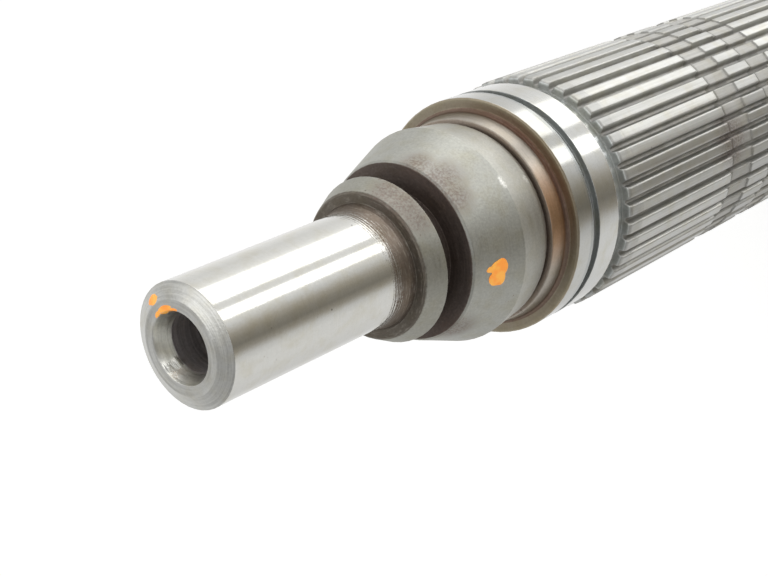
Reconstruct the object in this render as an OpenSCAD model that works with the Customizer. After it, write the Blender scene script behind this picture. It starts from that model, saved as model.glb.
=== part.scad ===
// Transmission main shaft, turned from one bar: a bored pilot, a collar, a cone, a bearing seat
// and a long splined length. It stands on its flat rear end, with the pilot at the top.

/* [Pilot] */
// Diameter of the ground pilot at the front end
pilot_d = 30; // [28:0.5:32]
// Length from the front face to the root fillet
pilot_len = 56; // [40:1:75]
// Outer diameter of the flat ring on the front face
face_ring_d = 22.5; // [19.5:0.1:26]
// Length of the front chamfer along the axis
front_chamfer_len = 1.9; // [0.8:0.1:4]
// Radius of the fillet at the pilot's root
root_fillet_r = 13; // [9:0.5:18]
// Length of the fillet along the axis, up to the collar
root_fillet_len = 5.7; // [4:0.1:6.4]

/* [Bore] */
// Diameter of the bore in the pilot
bore_d = 14.3; // [10:0.1:16]
// Depth of the bore's straight wall, from the front face
bore_len = 60; // [20:1:110]
// Mouth diameter of the countersink
countersink_d = 17.5; // [16.4:0.1:19]
// Depth of the countersink
countersink_len = 4.2; // [1:0.2:10]
// Angle of the drilled point at the bottom of the bore
drill_point_angle = 118; // [90:2:140]

/* [Collar] */
// Diameter of the collar at its front edge
collar_front_d = 38.3; // [37.6:0.1:40]
// Diameter of the collar at its rear edge
collar_rear_d = 43; // [41:0.2:46]
// Length of the collar
collar_len = 6.2; // [4:0.2:10]
// Floor diameter of the deep groove behind the collar
deep_groove_d = 33; // [26:0.5:37]
// Length of the deep groove
deep_groove_len = 6.9; // [4:0.1:12]

/* [Cone] */
// Diameter of the cone at its front edge
cone_front_d = 47.4; // [45:0.2:51]
// Diameter of the corner where the cone meets the barrel
barrel_front_d = 57.4; // [55:0.2:60]
// Diameter of the barrel where its rear bevel starts
barrel_rear_d = 54.9; // [54:0.1:57]
// Length of the cone
cone_len = 14.7; // [8:0.1:24]
// Length of the barrel
barrel_len = 12.3; // [6:0.1:20]
// Diameter of the barrel at the rear edge of its bevel
barrel_edge_d = 53.3; // [52:0.1:53.8]
// Length of the bevel at the rear of the barrel
barrel_bevel_len = 1.8; // [0.8:0.1:3]
// Floor diameter of the narrow slot behind the barrel
slot_d = 49; // [44:0.5:51]
// Width of the narrow slot
slot_len = 0.8; // [0.6:0.1:3]

/* [Bearing seat] */
// Front diameter of the low step in front of the seat
step_d = 56.1; // [53:0.1:59]
// Angle at which the step rises towards the seat
step_rise_angle = 12; // [4:1:16]
// Length of the low step
step_len = 5.1; // [3:0.1:8]
// Radius of the fillet between the step and the seat
step_fillet_r = 1.2; // [0.5:0.1:1.8]
// Diameter of the two ground lands of the seat
seat_d = 65; // [63:0.5:66.5]
// Length of the lead-in chamfer on the seat
seat_chamfer_len = 0.4; // [0.2:0.1:1]
// Length of the front land
front_land_len = 7.1; // [4:0.1:14]
// Length of the rear land
rear_land_len = 9.7; // [5:0.1:20]
// Floor diameter of the ring groove between the lands
ring_groove_d = 61.8; // [58:0.2:62]
// Width of the ring groove between the lands
ring_groove_len = 2.9; // [1.2:0.1:4]

/* [Splines] */
// Number of spline teeth
tooth_count = 41; // [36:1:45]
// Diameter over the tooth tips
spline_d = 66.7; // [65.8:0.1:68]
// Diameter across the floors of the tooth spaces
space_floor_d = 62.9; // [62.4:0.1:64]
// Width of a tooth space at its floor
space_floor_w = 0.9; // [0.6:0.1:1.4]
// Angle of each tooth flank from the middle of its space
flank_angle = 22; // [16:1:32]
// Length of the splined part
spline_len = 265; // [120:1:400]
// Diameter of the short neck between the seat and the teeth
neck_d = 61.2; // [59:0.1:62.2]
// Length of the short neck
neck_len = 4.4; // [2:0.1:7]
// Length of the bevel on the front end of the teeth
tooth_bevel_len = 0.6; // [0.3:0.1:1.5]
// Diameter of the shallow grooves turned into the teeth
shallow_groove_d = 65.7; // [65.7:0.1:66.2]
// Length of each shallow groove
shallow_groove_len = 13; // [6:0.1:17]
// Distance from the front of the teeth to the first shallow groove
shallow_groove_start = 56.5; // [30:0.5:70]
// Distance from one shallow groove to the next
shallow_groove_pitch = 26; // [18:0.5:35]
// Number of shallow grooves
shallow_groove_count = 2; // [1:1:2]
// Length of the chamfer on the rear end
end_chamfer_len = 3; // [2.4:0.1:6]

/* [Edges] */
// Size of the chamfer on each turned corner
edge_break = 0.6; // [0.3:0.1:0.8]
// Size of the chamfer on the step's front corner, which is nearly sharp
sharp_edge = 0.2; // [0.1:0.1:0.5]

/* [Hidden] */
$fn = 96;
// Steps along each rounded corner
arc_steps = 6;
// How far a cut runs past the surface that it opens
cut_margin = 2;

// Places along the shaft, measured from the front face
collar_at = pilot_len + root_fillet_len;
deep_groove_at = collar_at + collar_len;
cone_at = deep_groove_at + deep_groove_len;
barrel_at = cone_at + cone_len;
slot_at = barrel_at + barrel_len;
step_at = slot_at + slot_len;
front_land_at = step_at + step_len;
ring_groove_at = front_land_at + front_land_len;
rear_land_at = ring_groove_at + ring_groove_len;
neck_at = rear_land_at + rear_land_len;
teeth_at = neck_at + neck_len;
rear_end_at = teeth_at + spline_len;
drill_point_len = bore_d / 2 / tan(drill_point_angle / 2);

// Middle of the fillet's arc, which touches the rising step and the front of the seat
step_fillet_middle_at = front_land_at - step_fillet_r;
step_fillet_start = step_fillet_middle_at + step_fillet_r * sin(step_rise_angle);
step_fillet_middle_r = step_d / 2 + (step_fillet_start - step_at) * tan(step_rise_angle)
    + step_fillet_r * cos(step_rise_angle);

// Each profile point is a radius and a distance from the front face

// The fillet at the pilot's root, which runs out into the front of the collar
function root_fillet() = [
    for (i = [0 : arc_steps])
        let (along = root_fillet_len * i / arc_steps)
        [
            pilot_d / 2 + root_fillet_r - sqrt(root_fillet_r * root_fillet_r - along * along),
            pilot_len + along
        ]
];

// The fillet in the corner between the step and the front of the seat
function step_fillet() = [
    for (i = [0 : arc_steps])
        let (turn = step_rise_angle + (90 - step_rise_angle) * i / arc_steps)
        [
            step_fillet_middle_r - step_fillet_r * cos(turn),
            step_fillet_middle_at + step_fillet_r * sin(turn)
        ]
];

// A shallow groove in the teeth
function shallow_groove(from) = [
    [spline_d / 2, from],
    [shallow_groove_d / 2, from],
    [shallow_groove_d / 2, from + shallow_groove_len],
    [spline_d / 2, from + shallow_groove_len]
];

bore_profile = [
    [0, bore_len + drill_point_len],
    [bore_d / 2, bore_len],
    [bore_d / 2, countersink_len],
    [countersink_d / 2, 0]
];

pilot_profile = concat(
    [[face_ring_d / 2, 0], [pilot_d / 2, front_chamfer_len]],
    root_fillet()
);

collar_profile = [
    [collar_front_d / 2 - edge_break, collar_at],
    [collar_front_d / 2, collar_at + edge_break],
    [collar_rear_d / 2, deep_groove_at - edge_break],
    [collar_rear_d / 2 - edge_break, deep_groove_at],
    [deep_groove_d / 2, deep_groove_at],
    [deep_groove_d / 2, cone_at]
];

cone_profile = [
    [cone_front_d / 2 - edge_break, cone_at],
    [cone_front_d / 2, cone_at + edge_break],
    [barrel_front_d / 2, barrel_at],
    [barrel_rear_d / 2, slot_at - barrel_bevel_len],
    [barrel_edge_d / 2, slot_at],
    [slot_d / 2, slot_at],
    [slot_d / 2, step_at]
];

seat_profile = concat(
    [
        [step_d / 2 - sharp_edge, step_at],
        [step_d / 2 + sharp_edge * tan(step_rise_angle), step_at + sharp_edge]
    ],
    step_fillet(),
    [
        [seat_d / 2 - seat_chamfer_len, front_land_at],
        [seat_d / 2, front_land_at + seat_chamfer_len],
        [seat_d / 2, ring_groove_at],
        [ring_groove_d / 2, ring_groove_at],
        [ring_groove_d / 2, rear_land_at],
        [seat_d / 2, rear_land_at],
        [seat_d / 2, neck_at - edge_break],
        [seat_d / 2 - edge_break, neck_at]
    ]
);

spline_profile = concat(
    [[neck_d / 2, neck_at], [neck_d / 2, teeth_at]],
    [[spline_d / 2 - tooth_bevel_len, teeth_at], [spline_d / 2, teeth_at + tooth_bevel_len]],
    [
        for (i = [0 : shallow_groove_count - 1])
            each shallow_groove(teeth_at + shallow_groove_start + i * shallow_groove_pitch)
    ],
    [[spline_d / 2, rear_end_at - end_chamfer_len]],
    [[spline_d / 2 - end_chamfer_len, rear_end_at], [0, rear_end_at]]
);

module turned_body() {
    translate([0, 0, rear_end_at])
        rotate([180, 0, 0])
            rotate_extrude()
                polygon(concat(
                    bore_profile, pilot_profile, collar_profile,
                    cone_profile, seat_profile, spline_profile
                ));
}

// One tooth space on the X side, open at the rear end and run out in the air over the neck
module tooth_space() {
    floor_r = space_floor_d / 2;
    open_r = spline_d / 2 + cut_margin;
    open_half_w = space_floor_w / 2 + (open_r - floor_r) * tan(flank_angle);
    translate([0, 0, -cut_margin])
        linear_extrude(height = spline_len + cut_margin + neck_len / 2)
            polygon([
                [floor_r, -space_floor_w / 2],
                [open_r, -open_half_w],
                [open_r, open_half_w],
                [floor_r, space_floor_w / 2]
            ]);
}

module main_shaft() {
    color("silver")
        difference() {
            turned_body();
            for (i = [0 : tooth_count - 1])
                rotate([0, 0, i * 360 / tooth_count])
                    tooth_space();
        }
}

main_shaft();
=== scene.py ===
"""Looks of a transmission main shaft: steel finishes, paint marks, floor, light and camera."""
import math
from collections import namedtuple

import bmesh
import bpy
from mathutils import Matrix, Vector


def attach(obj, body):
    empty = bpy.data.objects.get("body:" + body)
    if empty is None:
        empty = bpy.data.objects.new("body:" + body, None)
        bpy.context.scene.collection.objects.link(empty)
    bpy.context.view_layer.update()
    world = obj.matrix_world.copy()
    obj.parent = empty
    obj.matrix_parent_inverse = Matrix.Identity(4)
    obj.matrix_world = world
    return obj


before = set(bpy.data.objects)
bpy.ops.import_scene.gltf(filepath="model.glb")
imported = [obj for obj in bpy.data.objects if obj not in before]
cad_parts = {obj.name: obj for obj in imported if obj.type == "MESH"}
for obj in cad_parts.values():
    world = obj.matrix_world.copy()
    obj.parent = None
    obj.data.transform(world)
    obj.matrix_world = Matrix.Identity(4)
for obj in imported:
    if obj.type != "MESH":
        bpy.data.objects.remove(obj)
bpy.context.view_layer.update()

# Sizes of the shaft in millimetres, as in the part's source, with places behind the front face
SHAFT_LEN = 396.8
BORE_R = 7.15
BORE_BOTTOM = 64.3
COUNTERSINK_R = 8.75
COUNTERSINK_LEN = 4.2
FACE_RING_R = 11.25
CONE_AT = 75.4
CONE_FRONT_R = 23.7
BARREL_AT = 89.5
BARREL_FRONT_R = 28.7
STEP_AT = 102.6
SEAT_AT = 107.7
SEAT_R = 32.5
TEETH_AT = 131.8
SPACE_FLOOR_R = 31.45
TIP_R = 33.35

# One millimetre in metres
MM = 0.001

# Radii to which the shading softens the turned edges and those of the teeth
SOFT_EDGE_R = 0.35
SOFT_TOOTH_R = 0.9

# How far one millimetre along the countersink's wall, or the front chamfer, goes outwards and back
COUNTERSINK_WALL = (0.36, 0.93)
FRONT_CHAMFER = (0.89, 0.45)

# Thickness of the paint on the cone and on the front end
CONE_PAINT = 0.06
FRONT_PAINT = 0.03

# Colours of tints, stains, bare places, painted shade and painted light on the steel
STRAW_TINT = (0.52, 0.30, 0.165, 1)
BROWN_TINT = (0.57, 0.46, 0.42, 1)
RIM_OLIVE = (0.40, 0.36, 0.26, 1)
# Steel of the countersink, painted lighter as painted light in its hollow
COUNTERSINK_STEEL_PAINTED_LIGHT = (0.70, 0.70, 0.66, 1)
BORE_STEEL = (0.60, 0.57, 0.57, 1)
# Dirt and painted shade low in the tooth spaces
DIRT_AND_SHADE = (0.27, 0.265, 0.25, 1)
DARK_RUST = (0.13, 0.095, 0.085, 1)
PALE_RUST = (0.23, 0.17, 0.14, 1)
BARE_STEEL = (0.50, 0.47, 0.42, 1)
PIT = (0.12, 0.10, 0.09, 1)
WARM_STAIN = (0.94, 0.92, 0.86, 1)
# A bright scuff with a painted glint
SCUFF_AND_GLINT = (0.80, 0.79, 0.75, 1)

# Colours of the paint where it is thick and where it is thin
THICK_PAINT = (1.0, 0.34, 0.045, 1)
THIN_PAINT = (1.0, 0.45, 0.07, 1)

# A finish starts at a place behind the front face and fades in over soft millimetres each way.
# Rust is how much of it is speckled brown, and marks is how strongly its turning marks show.
Finish = namedtuple("Finish", "start soft colour rough rust marks")
TEETH = ((0.50, 0.50, 0.475), 0.32, 0.05, 0.03)
# A dark band at the front of each shallow groove is painted shadow under the step of the teeth
GROOVE_EDGE_SHADOW = ((0.25, 0.25, 0.23), 0.50, 0.20, 0.05)
SHALLOW_GROOVE = ((0.50, 0.495, 0.47), 0.60, 0.15, 0.08)
WORN_TEETH = ((0.455, 0.455, 0.435), 0.38, 0.05, 0.03)
FINISHES = [
    Finish(-1.0, 0.10, (0.56, 0.56, 0.535), 0.32, 0.05, 1.20),  # turned front end
    Finish(1.90, 0.05, (0.655, 0.65, 0.615), 0.10, 0.00, 0.12),  # ground pilot
    Finish(56.0, 1.80, (0.195, 0.16, 0.13), 0.42, 0.45, 0.90),  # brown root fillet
    Finish(60.6, 0.40, (0.13, 0.105, 0.085), 0.50, 0.35, 0.80),  # dark ring in the corner
    Finish(61.55, 0.04, (0.17, 0.15, 0.125), 0.50, 0.40, 0.60),  # brown front face of the collar
    Finish(62.2, 0.10, (0.345, 0.34, 0.30), 0.48, 0.20, 0.35),  # collar
    Finish(67.8, 0.05, (0.16, 0.13, 0.115), 0.60, 0.10, 0.60),  # deep groove
    Finish(74.9, 0.05, (0.40, 0.40, 0.365), 0.48, 0.15, 0.35),  # cone
    Finish(89.5, 0.15, (0.455, 0.45, 0.41), 0.44, 0.06, 0.35),  # barrel
    Finish(101.75, 0.03, (0.43, 0.36, 0.31), 0.50, 0.10, 0.30),  # narrow slot
    Finish(102.62, 0.02, (0.40, 0.365, 0.32), 0.32, 0.08, 0.50),  # straw-coloured step
    Finish(106.4, 0.25, (0.215, 0.155, 0.12), 0.42, 0.12, 0.50),  # fillet in front of the seat
    Finish(107.66, 0.02, (0.33, 0.285, 0.215), 0.40, 0.08, 0.40),  # olive front of the seat
    Finish(107.78, 0.03, (0.36, 0.31, 0.23), 0.30, 0.05, 0.30),  # lead-in chamfer of the seat
    Finish(108.1, 0.05, (0.50, 0.50, 0.475), 0.10, 0.00, 0.12),  # front land
    Finish(113.9, 0.80, (0.35, 0.365, 0.36), 0.20, 0.00, 0.20),  # dull rear edge of the front land
    Finish(114.76, 0.03, (0.44, 0.455, 0.45), 0.40, 0.05, 0.30),  # ring groove
    Finish(117.74, 0.02, (0.60, 0.60, 0.575), 0.10, 0.00, 0.12),  # rear land
    # The neck's steel is painted lighter, as painted light against the shade in the neck
    Finish(127.1, 0.15, (0.67, 0.695, 0.685), 0.40, 0.02, 0.20),  # bluish neck and ends of the teeth
    Finish(131.9, 0.05, (0.45, 0.45, 0.43), 0.42, 0.10, 0.20),  # worn fronts of the teeth
    Finish(137.5, 1.20, *TEETH),
    Finish(188.25, 0.03, *GROOVE_EDGE_SHADOW),
    Finish(190.0, 0.40, *SHALLOW_GROOVE),
    Finish(201.35, 0.03, *WORN_TEETH),
    Finish(214.25, 0.03, *GROOVE_EDGE_SHADOW),
    Finish(216.0, 0.40, *SHALLOW_GROOVE),
    Finish(227.35, 0.03, *TEETH),
    Finish(393.8, 0.05, (0.48, 0.48, 0.46), 0.32, 0.10, 0.90),  # turned rear end
]

# A patch on the shaft: degrees round the axis, radius, place behind the front face, and reach
Patch = namedtuple("Patch", "azimuth radius behind reach")
STRAW_PATCH = Patch(16, 28.5, 105.0, 17)
BROWN_PATCH = Patch(50, 31.0, 107.5, 34)
RUST_PATCHES = [
    Patch(48, 24.3, 76.5, 7),
    Patch(62, 24.5, 77.0, 9),
    Patch(80, 24.3, 76.2, 7),
    Patch(48, 20.4, 65.0, 6),
    Patch(62, 20.4, 65.2, 8),
    Patch(76, 20.4, 65.0, 7),
    Patch(-45, 24.5, 76.5, 8),
    Patch(15, 33.0, 190.0, 12),
    Patch(-150, 24.5, 78.0, 11),
    Patch(170, 20.5, 66.0, 8),
    Patch(200, 33.0, 215.0, 16),
]
# Bright scuffs on the barrel's edges, painted as glints too
SCUFF_AND_GLINT_PATCHES = [
    Patch(40.5, 28.65, 89.4, 1.0),
    Patch(42.0, 28.65, 89.4, 1.2),
    Patch(43.5, 28.65, 89.4, 1.2),
    Patch(45.0, 28.65, 89.4, 1.0),
    Patch(40.0, 27.5, 99.3, 1.4),
]
POLISHED_PATCHES = [
    Patch(-128, 8.58, 0.45, 2.2),
    Patch(-128, 7.58, 3.05, 2.0),
]

# Places behind the front face between which the two ridges in the countersink rise
RIDGES = [(0.20, 0.75), (2.75, 3.35)]


class Graph:
    """Adds nodes to one node tree and joins them up."""

    def __init__(self, tree):
        self.tree = tree
        tree.nodes.clear()

    def feed(self, socket, value):
        if isinstance(value, bpy.types.NodeSocket):
            self.tree.links.new(value, socket)
        else:
            socket.default_value = value

    def node(self, kind, settings=None, **inputs):
        made = self.tree.nodes.new(kind)
        for name, value in (settings or {}).items():
            setattr(made, name, value)
        for name, value in inputs.items():
            self.feed(made.inputs[name.replace("_", " ")], value)
        return made

    def math(self, operation, first, second=0.0):
        made = self.node("ShaderNodeMath", {"operation": operation})
        self.feed(made.inputs[0], first)
        self.feed(made.inputs[1], second)
        return made.outputs[0]

    def product(self, *factors):
        result = factors[0]
        for factor in factors[1:]:
            result = self.math("MULTIPLY", result, factor)
        return result

    def vectors(self, operation, first, second):
        made = self.node("ShaderNodeVectorMath", {"operation": operation})
        self.feed(made.inputs[0], first)
        if operation == "SCALE":
            self.feed(made.inputs["Scale"], second)
        else:
            self.feed(made.inputs[1], second)
        return made.outputs["Value" if operation in ("DISTANCE", "DOT_PRODUCT") else "Vector"]

    def step(self, value, low, high, out_low=0.0, out_high=1.0):
        """A smooth step of value between low and high."""
        made = self.node("ShaderNodeMapRange", {"interpolation_type": "SMOOTHSTEP"}, Value=value)
        limits = {"From Min": low, "From Max": high, "To Min": out_low, "To Max": out_high}
        for name, number in limits.items():
            self.feed(made.inputs[name], number)
        return made.outputs["Result"]

    def mix(self, share, first, second, blend="MIX"):
        """The first colour with a share of the second over it."""
        made = self.node("ShaderNodeMix", {"data_type": "RGBA", "blend_type": blend})
        self.feed(made.inputs[0], share)
        self.feed(made.inputs[6], first)
        self.feed(made.inputs[7], second)
        return made.outputs[2]

    def noise(self, place, scale, detail=3.0):
        return self.node("ShaderNodeTexNoise", None, Vector=place, Scale=scale, Detail=detail).outputs[0]

    def vector(self, x, y, z):
        return self.node("ShaderNodeCombineXYZ", None, X=x, Y=y, Z=z).outputs[0]

    def ramp(self, value, stops):
        made = self.node("ShaderNodeValToRGB", None, Fac=value)
        points = made.color_ramp.elements
        for place, level in stops[1:-1]:
            points.new(place)
        for point, (place, level) in zip(points, stops):
            point.position = place
            point.color = grey(level)
        return made.outputs["Color"]

    def show(self, shader, kind="ShaderNodeOutputMaterial"):
        self.feed(self.node(kind).inputs["Surface"], shader)


def grey(level):
    return (level, level, level, 1)


def new_material(name):
    material = bpy.data.materials.new(name)
    material.use_nodes = True
    return material, Graph(material.node_tree)


def shaft_point(azimuth, radius, behind):
    """A point in millimetres, from degrees round the axis, a radius and a place behind the face."""
    turn = math.radians(azimuth)
    return Vector((radius * math.cos(turn), radius * math.sin(turn), SHAFT_LEN - behind))


def turned_normal(g, place, on_teeth):
    """The true normal of a turned surface, which has no seam, or the mesh's own on tooth flanks.
    Both are softened at edges."""
    soft = g.step(on_teeth, 0, 1, SOFT_EDGE_R * MM, SOFT_TOOTH_R * MM)
    own = g.node("ShaderNodeBevel", {"samples": 8}, Radius=soft).outputs[0]
    outward = g.node("ShaderNodeVectorMath", {"operation": "NORMALIZE"})
    g.feed(outward.inputs[0], g.vectors("MULTIPLY", place, (1, 1, 0)))
    outward = outward.outputs["Vector"]
    facing = g.vectors("DOT_PRODUCT", own, outward)
    rise = g.vectors("DOT_PRODUCT", own, (0, 0, 1))
    spread = g.math("SQRT", g.math("MAXIMUM", g.math("SUBTRACT", 1, g.product(rise, rise)), 0))
    sideways = g.vectors("SCALE", outward, g.product(spread, g.math("SIGN", facing)))
    both = g.node("ShaderNodeMix", {"data_type": "VECTOR"})
    g.feed(both.inputs[0], g.product(on_teeth, g.step(facing, 0.995, 0.98)))
    g.feed(both.inputs[4], g.vectors("ADD", sideways, g.vector(0, 0, rise)))
    g.feed(both.inputs[5], own)
    return both.outputs[1]


def nearness(g, place, patch):
    """How near a place is to a patch: 1 in its middle and 0 past its reach."""
    middle = shaft_point(patch.azimuth, patch.radius, patch.behind)
    return g.step(g.vectors("DISTANCE", place, middle), patch.reach, 0.2 * patch.reach)


def near_any(g, place, patches):
    """How near a place is to the nearest of some patches."""
    nearest = nearness(g, place, patches[0])
    for patch in patches[1:]:
        nearest = g.math("MAXIMUM", nearest, nearness(g, place, patch))
    return nearest


def steel():
    """Bare steel, with a finish for each turned length, turning marks, stains and rust specks."""
    material, g = new_material("steel")
    place = g.vectors("SCALE", g.node("ShaderNodeTexCoord").outputs["Object"], 1 / MM)
    x, y, z = g.node("ShaderNodeSeparateXYZ", None, Vector=place).outputs
    behind = g.math("SUBTRACT", SHAFT_LEN, z)
    radius = g.math("SQRT", g.math("ADD", g.product(x, x), g.product(y, y)))
    on_teeth = g.step(behind, TEETH_AT - 0.1, TEETH_AT)

    # Marks that run round the shaft, marks that run along its teeth, blotches and fine grain
    across = g.math("ADD", behind, g.product(radius, 0.7))
    round_place = g.vector(g.product(x, 0.04), g.product(y, 0.04), across)
    turning = g.noise(round_place, 2.2, 4)
    hobbing = g.noise(g.vector(x, y, g.product(behind, 0.03)), 1.6, 3)
    blotch = g.noise(place, 0.16, 3)
    grain = g.noise(place, 1.7, 4)
    even_turning = g.math("SUBTRACT", turning, 0.5)
    even_grain = g.math("SUBTRACT", grain, 0.5)

    # The finishes, one over the other from the front to the rear, with edges that the marks streak
    ragged = g.math("ADD", g.product(even_grain, 2), g.product(even_turning, 5))
    colour = FINISHES[0].colour + (1,)
    form = (FINISHES[0].rough, FINISHES[0].rust, FINISHES[0].marks, 1)
    for finish in FINISHES[1:]:
        edge = g.math("ADD", behind, g.product(ragged, finish.soft))
        share = g.step(edge, finish.start - finish.soft, finish.start + finish.soft)
        if finish.start < COUNTERSINK_LEN:
            share = g.product(share, g.step(radius, COUNTERSINK_R + 0.1, COUNTERSINK_R + 0.4))
        colour = g.mix(share, colour, finish.colour + (1,))
        form = g.mix(share, form, (finish.rough, finish.rust, finish.marks, 1))
    rough, rust, marks = g.node("ShaderNodeSeparateColor", None, Color=form).outputs

    # Heat tints on one side: straw on the step, and brown on the fillet and the front of the seat
    before_seat = g.step(behind, SEAT_AT - 0.5, SEAT_AT - 1.3)
    on_step = g.product(g.step(behind, STEP_AT, STEP_AT + 0.04), before_seat)
    straw = g.product(nearness(g, place, STRAW_PATCH), on_step)
    colour = g.mix(g.product(straw, 0.8), colour, STRAW_TINT)
    past_step = g.step(behind, SEAT_AT - 1.4, SEAT_AT - 0.8)
    on_front = g.product(past_step, g.step(behind, SEAT_AT + 0.10, SEAT_AT + 0.06))
    brown = g.product(nearness(g, place, BROWN_PATCH), on_front)
    colour = g.mix(brown, colour, BROWN_TINT, "MULTIPLY")
    # The seat's front turns up to half olive towards its rim
    rim_olive = g.product(on_front, g.step(radius, SEAT_R - 1.6, SEAT_R - 0.4, 0.0, 0.5))
    colour = g.mix(rim_olive, colour, RIM_OLIVE)

    # The countersink is painted lighter than the steel, as painted light in its hollow, the bore has a
    # colour of its own, and the tooth spaces hold dirt and painted shade
    in_pilot = g.step(behind, BORE_BOTTOM + 1, BORE_BOTTOM)
    inside = g.product(g.step(radius, COUNTERSINK_R, COUNTERSINK_R - 0.05), in_pilot)
    bore = g.product(inside, g.step(radius, BORE_R + 0.1, BORE_R + 0.02))
    colour = g.mix(inside, colour, COUNTERSINK_STEEL_PAINTED_LIGHT)
    colour = g.mix(bore, colour, BORE_STEEL)
    # The tooth spaces darken towards their floors with dirt and painted shade
    low_flank = g.step(radius, TIP_R - 0.1, SPACE_FLOOR_R + 0.5)
    dirt_and_shade = g.product(on_teeth, low_flank, g.step(blotch, 0.3, 0.7, 0.5, 0.8))
    colour = g.mix(dirt_and_shade, colour, DIRT_AND_SHADE)
    rough = g.math("ADD", rough, g.product(g.math("MAXIMUM", bore, dirt_and_shade), 0.20))

    # Rust gathers in hazy patches, and as specks on the finishes that have some
    patches = g.product(near_any(g, place, RUST_PATCHES), g.step(rust, 0.0, 0.05))
    speck = g.math("ADD", g.product(grain, 0.6), g.product(blotch, 0.4))
    level = g.math("ADD", g.product(rust, 0.22), g.product(patches, 0.11))
    specks = g.step(g.math("ADD", speck, level), 0.66, 0.76, 0.0, 0.7)
    haze = g.product(patches, g.step(grain, 0.3, 0.7, 0.2, 0.75))
    rusty = g.math("MAXIMUM", specks, haze)
    rust_colour = g.mix(g.noise(place, 0.9, 2), DARK_RUST, PALE_RUST)
    colour = g.mix(rusty, colour, rust_colour)
    rough = g.math("ADD", rough, g.product(rusty, 0.15))

    # Bare streaks that shine through the rust, small dark pits, and a warm stain here and there
    worn = g.noise(g.vector(g.product(x, 0.2), g.product(y, 0.2), across), 2.4, 3)
    bare = g.product(g.step(worn, 0.48, 0.80), rust, 0.9)
    colour = g.mix(bare, colour, BARE_STEEL)
    cells = g.node("ShaderNodeTexVoronoi", None, Vector=place, Scale=0.2)
    chance = g.node("ShaderNodeSeparateColor", None, Color=cells.outputs["Color"]).outputs[0]
    chosen = g.step(chance, 0.6, 0.7)
    pits = g.product(g.step(cells.outputs["Distance"], 0.06, 0.03), chosen)
    colour = g.mix(g.product(pits, 0.7), colour, PIT)
    stain = g.step(g.noise(place, 0.22, 4), 0.40, 0.75)
    colour = g.mix(stain, colour, WARM_STAIN, "MULTIPLY")

    # Bright scuffs with a painted glint on the barrel's edges, and two small polished ridges in the
    # countersink
    scuffs_and_glints = g.product(near_any(g, place, SCUFF_AND_GLINT_PATCHES), g.step(grain, 0.3, 0.7, 0.2, 0.9))
    colour = g.mix(scuffs_and_glints, colour, SCUFF_AND_GLINT)
    polished = g.product(inside, near_any(g, place, POLISHED_PATCHES))
    rough = g.math("SUBTRACT", rough, g.product(polished, 0.20))
    rises = [g.step(behind, *ridge) for ridge in RIDGES]
    ridges = g.product(polished, g.math("ADD", *rises))

    # The marks lighten, darken and roughen the steel, and the teeth show little of the grain
    grit = g.product(rough, g.step(on_teeth, 0, 1, 1.0, 0.25))
    shade = g.math("ADD", g.product(even_turning, marks, 0.7), g.product(even_grain, grit))
    streaks = g.product(on_teeth, g.math("SUBTRACT", hobbing, 0.5), 0.5)
    colour = g.mix(1.0, colour, g.math("ADD", g.math("ADD", shade, streaks), 1.0), "MULTIPLY")
    rough = g.math("ADD", rough, g.product(even_turning, grit, 0.6))
    chatter = g.math("ADD", turning, g.product(grain, 0.6))
    height = g.math("ADD", g.product(chatter, marks), g.product(grain, grit))
    height = g.math("ADD", height, g.product(ridges, 2))
    bump = g.node(
        "ShaderNodeBump", None,
        Strength=0.5, Distance=0.00008, Height=height, Normal=turned_normal(g, place, on_teeth),
    )

    shader = g.node(
        "ShaderNodeBsdfPrincipled", None,
        Base_Color=colour, Metallic=1.0, Roughness=rough, Normal=bump.outputs[0],
    )
    g.show(shader.outputs[0])
    return material


def paint():
    """Orange inspection paint, yellower where it is thin. It is fluorescent, and a little painted glow
    makes it brighter than the light on it.
    """
    material, g = new_material("orange_paint")
    place = g.node("ShaderNodeTexCoord").outputs["Object"]
    thin = g.step(g.noise(place, 330, 1), 0.40, 0.60)
    colour = g.mix(thin, THICK_PAINT, THIN_PAINT)
    brushed = g.noise(place, 1500, 2)
    bump = g.node("ShaderNodeBump", None, Strength=0.3, Distance=0.00005, Height=brushed)
    # The emission is a painted glow
    shader = g.node(
        "ShaderNodeBsdfPrincipled", None,
        Base_Color=colour, Roughness=g.step(brushed, 0.3, 0.7, 0.38, 0.55), Normal=bump.outputs[0],
        Emission_Color=colour, Emission_Strength=0.25,
    )
    g.show(shader.outputs[0])
    return material


def cone_point(azimuth, along, lift):
    """A point over the cone, at a place behind the front face."""
    share = (along - CONE_AT) / (BARREL_AT - CONE_AT)
    radius = CONE_FRONT_R + share * (BARREL_FRONT_R - CONE_FRONT_R)
    return shaft_point(azimuth, radius + lift, along)


def front_point(azimuth, out, lift):
    """A point over the front end, out from the countersink's edge, or into it where out is negative."""
    face_width = FACE_RING_R - COUNTERSINK_R
    if out < 0:
        outwards, back = COUNTERSINK_WALL
        return shaft_point(azimuth, COUNTERSINK_R + out * outwards - lift, -out * back)
    if out < face_width:
        return shaft_point(azimuth, COUNTERSINK_R + out, -lift)
    past = out - face_width
    outwards, back = FRONT_CHAMFER
    return shaft_point(azimuth, FACE_RING_R + past * outwards, past * back - lift)


# A lobe of a paint mark: its middle and half sizes, in degrees round the axis and millimetres along
Lobe = namedtuple("Lobe", "azimuth along half_azimuth half_along")


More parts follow.
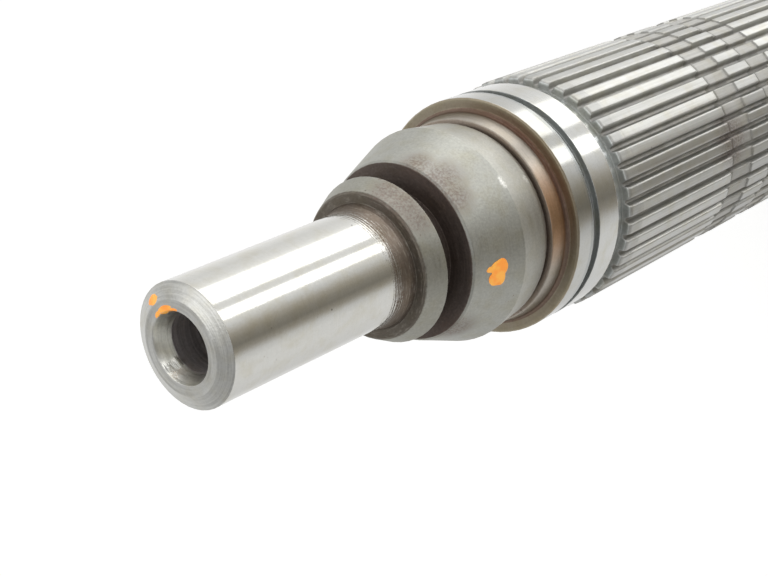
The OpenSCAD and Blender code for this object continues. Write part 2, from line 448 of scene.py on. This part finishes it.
def paint_mark(name, surface, lobes, thickness, material):
    """One mark of paint, made of domed lobes with wavy outlines that lie on the steel."""
    rings = 8
    spokes = 48
    rim_sink = 0.01
    mesh = bmesh.new()
    for index, lobe in enumerate(lobes):
        hub = mesh.verts.new(surface(lobe.azimuth, lobe.along, thickness) * MM)
        inner = None
        for ring in range(1, rings + 1):
            reach = ring / rings
            lift = thickness * (1 - reach ** 4) - rim_sink * (ring == rings)
            circle = []
            for spoke in range(spokes):
                turn = 2 * math.pi * spoke / spokes
                wave = 1 + 0.06 * math.sin(3 * turn + index) + 0.03 * math.sin(5 * turn + 2 * index)
                azimuth = lobe.azimuth + lobe.half_azimuth * reach * wave * math.cos(turn)
                along = lobe.along + lobe.half_along * reach * wave * math.sin(turn)
                circle.append(mesh.verts.new(surface(azimuth, along, lift) * MM))
            for spoke in range(spokes):
                following = (spoke + 1) % spokes
                if inner is None:
                    mesh.faces.new((hub, circle[spoke], circle[following]))
                else:
                    mesh.faces.new((inner[spoke], circle[spoke], circle[following], inner[following]))
            inner = circle
    bmesh.ops.recalc_face_normals(mesh, faces=mesh.faces)
    data = bpy.data.meshes.new(name)
    mesh.to_mesh(data)
    mesh.free()
    data.materials.append(material)
    for face in data.polygons:
        face.use_smooth = True
    mark = bpy.data.objects.new(name, data)
    bpy.context.scene.collection.objects.link(mark)
    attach(mark, "root")


def pale_floor():
    """A plain pale floor under the shaft. The camera sees it near white, with the soft shade on it."""
    bpy.ops.mesh.primitive_plane_add(size=12)
    floor = bpy.context.object
    floor.name = "floor"
    material, g = new_material("pale_floor")
    matt = g.node("ShaderNodeBsdfDiffuse", None, Color=(0.86, 0.86, 0.85, 1))
    seen = g.node("ShaderNodeLightPath").outputs["Is Camera Ray"]
    glow = g.node("ShaderNodeEmission", None, Color=grey(1), Strength=g.product(seen, 0.40))
    both = g.node("ShaderNodeAddShader")
    g.feed(both.inputs[0], matt.outputs[0])
    g.feed(both.inputs[1], glow.outputs[0])
    g.show(both.outputs[0])
    floor.data.materials.append(material)
    # The standing shaft would mirror the floor where the lying one mirrored the room
    floor.visible_glossy = False
    floor.visible_shadow = False


def studio_light():
    """Soft light all round the shaft's axis: pale sheets, two tall windows on the +Y side, a dim warm gap
    on +X, and a window in front and above."""
    world = bpy.data.worlds.new("studio")
    bpy.context.scene.world = world
    world.use_nodes = True
    g = Graph(world.node_tree)
    towards = g.node("ShaderNodeTexCoord").outputs["Generated"]
    x, y, z = g.node("ShaderNodeSeparateXYZ", None, Vector=towards).outputs
    azimuth = g.math("DEGREES", g.math("ARCTAN2", y, x))
    brightest = 2.5
    # Degrees round the axis, and the level of the light from there
    levels = [
        (-180, 1.0), (-150, 0.95), (-135, 0.86), (-105, 0.76), (-60, 0.88), (-35, 0.86), (-24, 0.72),
        (-12, 0.35), (-2, 0.23), (10, 0.30), (20, 0.44), (38, 0.90), (44.5, 1.0), (46, 2.2), (62.5, 2.2),
        (64, 1.0), (77, 1.0), (79, 2.1), (113, 2.1), (118, 1.2), (131, 1.0), (150, 0.9), (180, 1.0),
    ]
    stops = [((degrees + 180) / 360, level / brightest) for degrees, level in levels]
    around = g.ramp(g.product(g.math("ADD", azimuth, 180), 1 / 360), stops)
    around = g.vectors("SCALE", around, brightest)
    gap = g.product(g.step(azimuth, -25, -8), g.step(azimuth, 35, 15))
    around = g.mix(gap, around, (1.04, 0.97, 0.84, 1), "MULTIPLY")
    window = g.product(g.step(y, -0.02, 0.20), g.step(z, 0.62, 0.84))
    front = g.math("ADD", g.product(window, 1.1), g.math("SUBTRACT", 0.50, g.product(x, 0.25)))
    light = g.mix(g.step(z, 0.05, 0.50), around, front)
    seen = g.node("ShaderNodeLightPath").outputs["Is Camera Ray"]
    background = g.node("ShaderNodeBackground", None, Color=g.mix(seen, light, grey(1)), Strength=1.0)
    g.show(background.outputs[0], "ShaderNodeOutputWorld")


def photo_camera():
    """The camera of the photograph. The shaft lay on its side there, so the picture's up is +Y."""
    place = Vector((0.2226, 0.1380, 0.5950))
    target = Vector((0.0279, 0.0103, 0.3612))
    look = (target - place).normalized()
    right = look.cross(Vector((0, 1, 0))).normalized()
    up = right.cross(look)
    data = bpy.data.cameras.new("camera")
    data.sensor_width = 36
    data.lens = 70.3
    data.clip_start = 0.01
    camera = bpy.data.objects.new("camera", data)
    camera.matrix_world = Matrix.Translation(place) @ Matrix((right, up, -look)).transposed().to_4x4()
    bpy.context.scene.collection.objects.link(camera)
    bpy.context.scene.camera = camera


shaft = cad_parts["main_shaft"]
steel_material = steel()
for slot in shaft.material_slots:
    slot.material = steel_material

paint_material = paint()
paint_mark(
    "paint_on_cone", cone_point,
    [Lobe(0.4, 82.2, 5.0, 2.4), Lobe(-5.2, 81.7, 5.2, 2.3), Lobe(0.4, 79.9, 1.8, 1.4)],
    CONE_PAINT, paint_material,
)
paint_mark(
    "paint_on_chamfer", front_point,
    [Lobe(132, 3.5, 7, 1.0), Lobe(134, 3.8, 7.5, 1.2), Lobe(136, 4.1, 7, 1.0)],
    FRONT_PAINT, paint_material,
)
paint_mark(
    "paint_on_countersink", front_point,
    [Lobe(118, 0.6, 15, 0.8), Lobe(100, 0.1, 9, 0.5), Lobe(137, 0.3, 7, 0.7), Lobe(120, -0.5, 17, 1.0)],
    FRONT_PAINT, paint_material,
)

pale_floor()
studio_light()
photo_camera()
bpy.context.scene.view_settings.view_transform = "Standard"
